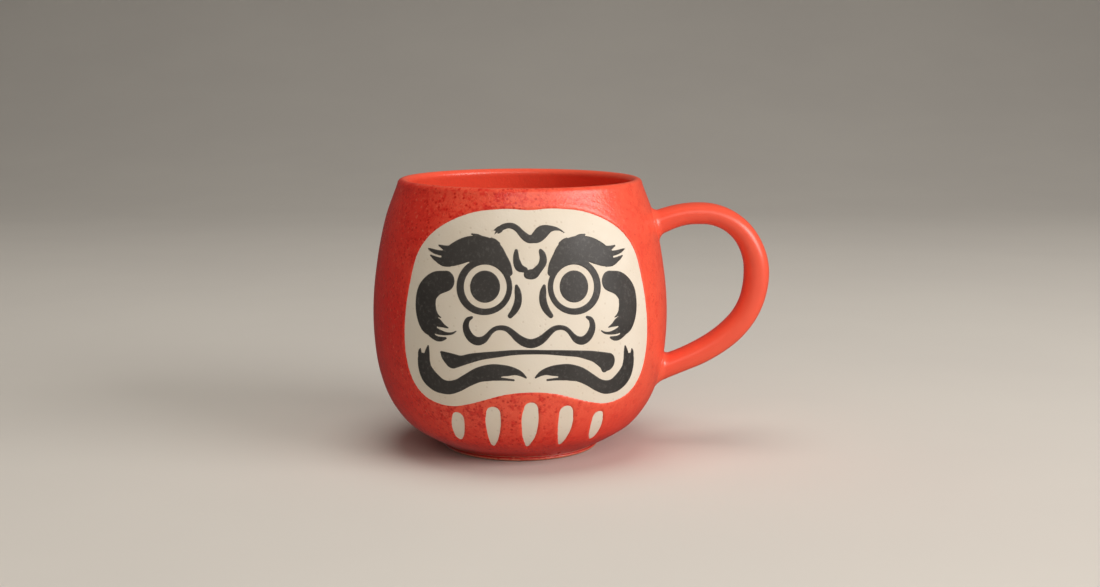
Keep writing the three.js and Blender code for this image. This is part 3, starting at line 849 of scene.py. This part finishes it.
def make_body():
    """The fired clay: one closed surface of revolution, under the foot, up the outside beneath the
    coat, over the lip and down the inside beneath the liner."""
    foot = catmull_rom(FOOT_UNDER + FOOT_SIDE[:1], 5).clip(0)
    level = np.interp(outside_line[:, 1], FOOT_CLAY_HEIGHTS, [-FOOT_CLAY_DEPTH, CLAY_LEVEL])
    outer = outside_line + outside_normal * level[:, None]
    outer = np.vstack([np.array(FOOT_SIDE) - [FOOT_CLAY_DEPTH, 0], outer[5:]])
    lip = np.array(lip_points()) + [-LIP_CENTRE_RADIUS, LIP_RADIUS - LIP_TOP]
    lip = lip * (LIP_RADIUS - LIP_CLAY_DEPTH) / LIP_RADIUS + [LIP_CENTRE_RADIUS, LIP_TOP - LIP_RADIUS]
    inner = (cup_inside() + profile_normals(cup_inside()) * CLAY_LEVEL)[4:]
    line = np.vstack([foot, even_points(outer, CLAY_SPACING), lip[1:-1], inner])
    points = turned_points(line, whole_turn(AROUND)).reshape(-1, 3)
    faces = grid_faces(len(line), AROUND, around=True).reshape(-1, 4).tolist()
    first = np.arange(AROUND)
    faces += fan(first, len(points))
    faces += fan(first + AROUND * (len(line) - 1), len(points) + 1, last=True)
    points = np.vstack([points, [[0, 0, line[0, 1]], [0, 0, line[-1, 1]]]])
    mesh_piece("stoneware_body", points, faces, "clay_body", bare_clay)


COAT_INNER_ROWS = 9
SEAM_ROWS = 6
SEAM_DEPTH = 0.14

# The coat ends this far inside a window's edge, and cells reach a little past that end
COAT_EDGE = -0.35
COAT_SPARE = 0.3
COAT_EDGE_FALL = 0.45
# It is full beyond the first distance, and swells into a low bead at the second
COAT_SHOULDER = 0.9
BEAD_PLACE = 1.1
BEAD_WIDTH = 0.6
BEAD_HEIGHT = 0.06
# Rows before the inner rows where the lip begins, and where the coat counts as past the lip
LIP_ROWS = 6
PAST_LIP_ROWS = [-7, -4]
FACE_HALF_WIDTH = 47


def cup_inside():
    """The inside's profile, from the lip down and in to the middle of the floor."""
    return catmull_rom([lip_points()[-1]] + INSIDE, 8)


def seam_level(rows_from_end):
    """How far a glaze sinks over its last rows, so that coat and liner dip through each other."""
    return -SEAM_DEPTH * (1 - (rows_from_end / SEAM_ROWS).clip(0, 1))[:, None] ** 2


def make_coat():
    """The red coat: a surface of revolution from the foot over the lip. Towards a window its level
    sinks to the cream as the square of how near the window is, with a low bell-shaped bead just
    before, and its cells end a little inside the window's edge."""
    front = np.arange(-COAT_FRONT_CELLS, COAT_FRONT_CELLS + 0.5) * COAT_CELL / BELLY_RADIUS
    back = np.linspace(front[-1], 2 * np.pi + front[0], COAT_BACK_COLUMNS + 2)[1:-1]
    back = np.where(back > np.pi, back - 2 * np.pi, back)
    turn = np.r_[front, back]
    foot = catmull_rom(FOOT_SIDE, 4)[:-1]
    inner = cup_inside()[1 : COAT_INNER_ROWS + 1]
    line = np.vstack([foot, even_points(outside_line, COAT_SPACING), lip_points()[1:], inner])
    normal = profile_normals(line)
    line = line + normal * seam_level(len(line) - 1 - np.arange(len(line)))
    a, z = np.meshgrid(turn * BELLY_RADIUS, line[:, 1])
    outside = (np.arange(len(line)) < len(line) - len(inner) - LIP_ROWS)[:, None]
    distance = np.where(outside, window_distance(a, z), FAR)
    kept = distance > COAT_EDGE - COAT_SPARE
    cells = kept & np.roll(kept, -1, axis=1)
    cells = cells[:-1] & cells[1:]
    rise = np.gradient(line[:, 1])[:, None].clip(LEAST_RISE)
    slope_a = np.gradient(distance, axis=1) / COAT_CELL
    slope_z = np.gradient(distance, axis=0) / rise
    whole = np.zeros(a.shape, bool)
    around = np.roll(cells, 1, axis=1)
    whole[1:-1] = cells[:-1] & cells[1:] & around[:-1] & around[1:]
    loose = (~whole) & (np.abs(distance - COAT_EDGE) < 1) & (np.abs(a) < FACE_HALF_WIDTH)
    push = np.where(loose, distance - COAT_EDGE, 0)
    push = push / np.maximum(slope_a**2 + slope_z**2, LEAST_SLOPE_SQUARED)
    distance = np.where(loose, COAT_EDGE, distance)
    nearness = 1 - distance.clip(0, COAT_SHOULDER) / COAT_SHOULDER
    level = np.where(distance < 0, CREAM_LEVEL + COAT_EDGE_FALL * distance, CREAM_LEVEL * nearness**2)
    level += BEAD_HEIGHT * np.exp(-(((distance - BEAD_PLACE) / BEAD_WIDTH) ** 2))
    a = a - push * slope_a
    height = np.where(loose, z - push * slope_z, z)
    rows = np.arange(len(line))
    step = rows[:, None] + np.where(loose, (height - z) / rise, 0)
    radius, up = (
        np.interp(step, rows, line[:, k]) + level * np.interp(step, rows, normal[:, k]) for k in (0, 1)
    )
    angle = FACE_TURN + a / BELLY_RADIUS
    points = np.stack([radius * np.sin(angle), -radius * np.cos(angle), up], axis=-1).reshape(-1, 3)
    past_lip = np.interp(rows - (len(line) - len(inner)), PAST_LIP_ROWS, [0, 1])[:, None] + distance * 0
    edges = np.stack([distance, past_lip, distance * 0], axis=-1).reshape(-1, 3)
    faces = grid_faces(*a.shape, around=True)[cells]
    points, faces, edges = drop_unused(points, faces, edges)
    faces = faces.tolist()
    coat = mesh_piece("red_coat", points, faces, "outer_glaze", coat_red, {"edges": edges})
    thicken(coat, COAT_THICKNESS)


def make_liner():
    """The glaze inside the cup: a surface of revolution from just under the coat's end to the
    middle of the floor."""
    line = cup_inside()[COAT_INNER_ROWS - SEAM_ROWS :]
    line = line + profile_normals(line) * seam_level(np.arange(len(line)))
    points = turned_points(line, whole_turn(AROUND)).reshape(-1, 3)
    faces = grid_faces(len(line), AROUND, around=True).reshape(-1, 4).tolist()
    faces += fan(np.arange(AROUND) + AROUND * (len(line) - 1), len(points), last=True)
    points = np.vstack([points, [[0, 0, line[-1, 1]]]])
    liner = mesh_piece("red_liner", points, faces, "liner_glaze", liner_red)
    thicken(liner, COAT_THICKNESS)


def wall_beside(points):
    """For points near the mug's side: their distance from it, and the wall's unit normal there."""
    radius = np.hypot(points[..., 0], points[..., 1])
    wall_radius, outward, upward = outside_at(points[..., 2])
    across = points[..., :2] / radius[..., None] * outward[..., None]
    normal = np.concatenate([across, upward[..., None]], axis=-1)
    return (radius - wall_radius) * outward, normal


def make_handle():
    """The strap: an oval carried along the handle's line. Within a fillet's reach of the wall its
    points slide outwards along the wall by the rise of a quarter round, so that the strap runs
    into the wall, and past the wall they stay just under it."""
    line = even_points(catmull_rom(HANDLE_PATH, 12), HANDLE_SPACING)
    length = arc_length(line[:, :2])
    from_end = np.minimum(length, length[-1] - length)
    chosen = (from_end < HANDLE_END) | (np.arange(len(line)) % HANDLE_STRIDE == 0)
    along = headings(line[:, :2])
    line, along = line[chosen, None], along[chosen, None]
    turn = whole_turn(HANDLE_COLUMNS)
    rise, side = (np.sign(wave) * np.abs(wave) ** OVAL_POWER for wave in (np.cos(turn), np.sin(turn)))
    half = line[..., 2]
    points = np.stack([line[..., 0] - along[..., 1] * half * rise,
                       HANDLE_HALF_WIDTH * side + half * 0,
                       line[..., 1] + along[..., 0] * half * rise], axis=-1)
    outward = np.stack([-along[..., 1] * rise / half, side / HANDLE_HALF_WIDTH + half * 0,
                        along[..., 0] * rise / half], axis=-1)
    gap, wall = wall_beside(points)
    outward -= (outward * wall).sum(axis=-1, keepdims=True) * wall
    outward /= np.linalg.norm(outward, axis=-1, keepdims=True)
    share = 1 - (gap / ROOT_FILLET).clip(0, 1)
    slide = ROOT_FILLET * (1 - np.sqrt(1 - (share * FILLET_SHARE) ** 2))
    points += slide[..., None] * outward
    gap, wall = wall_beside(points)
    points += np.maximum(-ROOT_DEPTH - gap, 0)[..., None] * wall
    points = points.reshape(-1, 3)
    first = np.arange(HANDLE_COLUMNS)
    last = first + len(points) - HANDLE_COLUMNS
    middles = [points[first].mean(axis=0), points[last].mean(axis=0)]
    faces = grid_faces(len(line), HANDLE_COLUMNS, around=True).reshape(-1, 4).tolist()
    faces += fan(first, len(points)) + fan(last, len(points) + 1, last=True)
    mesh_piece("strap_handle", np.vstack([points, middles]), faces, "handle", handle_red)


def stroke_field(strokes):
    """The distance to some strokes, as a function of the place on the face."""
    return lambda a, z: stroke_distance(a, z, strokes)


# How far the cream reaches under the coat, and the margin round a mark's grid
WINDOW_OVERLAP = 1.2
DROP_OVERLAP = 1.0
MARK_MARGIN = 5


def make_cream():
    """The cream slip, showing through the windows and reaching a little way under the coat."""

    def window(a, z):
        return outline_distance(a, z, window_outline()) - WINDOW_OVERLAP, a * 0, a * 0

    low = (-FACE_HALF_WIDTH, 18)
    high = (FACE_HALF_WIDTH, 85)
    film("cream_window", "face_panel", cream, window, low, high, CREAM_CELL, CREAM_LEVEL)
    for number, drop in enumerate(FRINGE, 1):
        a, z, _ = np.transpose(drop)

        def field(a, z, drop=drop):
            distance, along, across = stroke_distance(a, z, [drop])
            return distance - DROP_OVERLAP, along, across

        low = (a.min() - 5, z.min() - 4)
        high = (a.max() + 5, z.max() + 5)
        name = f"fringe_drop_{number}"
        film(f"cream_drop_{number}", name, cream, field, low, high, DROP_CELL, CREAM_LEVEL)


def eye_field(centre, ring_centre, brow):
    """The brow's strokes joined to the ring round the eye, with the eye's opening left free."""

    def field(a, z):
        distance, along, across = stroke_distance(a, z, brow)
        ring = ellipse_distance(a, z, ring_centre, EYE_RING)
        turn = np.arctan2(z - ring_centre[1], a - ring_centre[0])
        along = np.where(ring < distance, turn * EYE_RING[0], along)
        middle = (EYE_RING[0] - EYE_OPENING[0]) / 2
        across = np.where(ring < distance, (ring + middle) / middle, across)
        opening = ellipse_distance(a, z, centre, EYE_OPENING)
        return np.maximum(np.minimum(distance, ring), -opening), along, across

    return field


def mark(name, field, low, high):
    """One painted mark, as a film of black between two corners of the unrolled face."""
    film(name + "_ink", name, black, field, low, high, INK_CELL, MARK_LEVEL)


def mark_strokes(name, strokes):
    """One painted mark made of strokes alone."""
    knots = np.vstack(strokes)[:, :2]
    mark(name, stroke_field(strokes), knots.min(axis=0) - MARK_MARGIN, knots.max(axis=0) + MARK_MARGIN)


def make_half(side, carry):
    """One half of the painted face; carry takes the left half's strokes to this side."""
    centre, ring_centre = ([*spot, 0] for spot in (EYE, EYE_RING_CENTRE))
    centre, ring_centre = (np.array(knot[:2]) for knot in carry([[centre, ring_centre]], FACE_MIRROR)[0])
    mark_strokes(f"{side}_cheek_whisker", carry(WHISKER, FACE_MIRROR))
    mark_strokes(f"{side}_beard_stroke", carry(BEARD, BEARD_MIRROR))
    mark_strokes(f"{side}_nose_stroke", carry(NOSE_SIDE, FACE_MIRROR))
    brow = carry(BROW, FACE_MIRROR)
    corners = np.vstack(brow)[:, :2]
    low = np.minimum(corners.min(axis=0), ring_centre - EYE_RING) - MARK_MARGIN
    high = np.maximum(corners.max(axis=0), ring_centre + EYE_RING) + MARK_MARGIN
    mark(f"{side}_brow_and_eye_ring", eye_field(centre, ring_centre, brow), low, high)

    def pupil(a, z):
        return ellipse_distance(a, z, centre, PUPIL_RADII), a - centre[0], z - centre[1]

    mark(f"{side}_pupil", pupil, centre - 6, centre + 6)


def make_marks():
    """The painted face: its two halves, and the lines that cross the middle."""
    make_half("left", lambda strokes, rule: strokes)
    make_half("right", mirrored)
    mark_strokes("forehead_wrinkle", FOREHEAD)
    mark_strokes("brow_mark", BROW_MARK)
    lip = [NOSE_AND_LIP_HALF + [NOSE_TIP] + mirrored([NOSE_AND_LIP_HALF[::-1]], FACE_MIRROR)[0]]
    mark_strokes("nose_and_lip_line", lip)
    mark_strokes("mouth_line", MOUTH)


make_body()
make_coat()
make_liner()
make_handle()
make_cream()
make_marks()


# Stage, camera and lights, in metres

FLOOR_HALF_WIDTH = 4.0
FLOOR_FRONT = -2.5
FLOOR_BEND_START = 0.7
FLOOR_BEND_RADIUS = 1.3
FLOOR_TOP = 3.2
FLOOR_PALE = (0.74, 0.705, 0.65)
FLOOR_SHADE = (0.71, 0.675, 0.625)
WINDOW_WHITE = (1.0, 0.96, 0.94)
FRONT_WARM = (1.0, 0.945, 0.86)
TOP_WARM = (1.0, 0.96, 0.90)
ROOM_PALE = (1.0, 0.97, 0.93)
ROOM_LIGHT = 0.07
ROOM_SEEN = 0.55
# The camera's place from the mug's axis in millimetres, and how far down it looks in degrees
CAMERA_PLACE = (9.748, -494.96, 129.83)
CAMERA_DOWN = 9.1666
# The point the lights face
MUG_MIDDLE = (AXIS_X * MM, 0, 0.05)


def make_stage():
    """A pale floor that curves up behind the mug, and leaves no haze on the satin glaze."""
    bend = np.linspace(0.05, np.pi / 2, 32)
    bend_along = FLOOR_BEND_START + FLOOR_BEND_RADIUS * np.sin(bend)
    along = np.r_[FLOOR_FRONT, FLOOR_BEND_START, bend_along, FLOOR_BEND_START + FLOOR_BEND_RADIUS]
    up = np.r_[0, 0, FLOOR_BEND_RADIUS * (1 - np.cos(bend)), FLOOR_TOP]
    across = np.array([-FLOOR_HALF_WIDTH, FLOOR_HALF_WIDTH])
    points = np.stack(np.broadcast_arrays(across, along[:, None], up[:, None]), axis=-1).reshape(-1, 3)
    mesh = bpy.data.meshes.new("pale_floor")
    mesh.from_pydata(points, [], grid_faces(len(along), 2).reshape(-1, 4).tolist())
    mesh.shade_smooth()
    material, tree, shader, where = new_material("pale_floor")
    grain = noise(tree, where, 6.0, 3.0)
    colour = blend_colours(tree, ease(tree, grain, 0.3, 0.7), FLOOR_PALE, FLOOR_SHADE)
    finish_material(tree, shader, colour, ease(tree, grain, 0.3, 0.7, 0.8, 0.9), grain, FLOOR_BUMPS)
    mesh.materials.append(material)
    floor = bpy.data.objects.new("pale_floor", mesh)
    floor.visible_glossy = False
    bpy.context.scene.collection.objects.link(floor)


def add_softbox(name, place, size, power, colour):
    """An oval area light that faces the mug's middle."""
    light = bpy.data.lights.new(name, "AREA")
    light.shape = "ELLIPSE"
    light.size, light.size_y = size
    light.energy = power
    light.color = colour
    lamp = bpy.data.objects.new(name, light)
    bpy.context.scene.collection.objects.link(lamp)
    way = Vector(MUG_MIDDLE) - Vector(place)
    lamp.location = place
    lamp.rotation_euler = way.to_track_quat("-Z", "Y").to_euler()
    return lamp


def pale_world():
    """A pale room seen by the camera, which adds only a little light of its own."""
    world = bpy.data.worlds.new("studio")
    world.use_nodes = True
    tree = world.node_tree
    seen = add_node(tree, "ShaderNodeLightPath").outputs["Is Camera Ray"]
    background = tree.nodes["Background"]
    background.inputs["Color"].default_value = (*ROOM_PALE, 1)
    tree.links.new(ease(tree, seen, 0.0, 1.0, ROOM_LIGHT, ROOM_SEEN), background.inputs["Strength"])
    return world


def add_camera():
    """A 50 mm lens half a metre in front, a little above and looking down at the mug."""
    camera = bpy.data.cameras.new("camera")
    camera.lens = 50
    camera.sensor_width = 36
    camera.clip_start = 0.01
    holder = bpy.data.objects.new("camera", camera)
    holder.location = ((AXIS_X + CAMERA_PLACE[0]) * MM, CAMERA_PLACE[1] * MM, CAMERA_PLACE[2] * MM)
    holder.rotation_euler = (np.radians(90 - CAMERA_DOWN), 0, 0)
    bpy.context.scene.collection.objects.link(holder)
    bpy.context.scene.camera = holder


make_stage()
add_softbox("window_light", (0.92, -0.5, 0.48), (0.8, 0.6), 8.1, WINDOW_WHITE)
add_softbox("front_light", (0.28, -0.93, 0.66), (1.4, 0.7), 3.9, FRONT_WARM)
top_light = add_softbox("top_light", (-0.02, -0.05, 1.2), (0.8, 0.8), 6.4, TOP_WARM)
top_light.visible_glossy = False
bpy.context.scene.world = pale_world()
bpy.context.scene.view_settings.view_transform = "Standard"
add_camera()
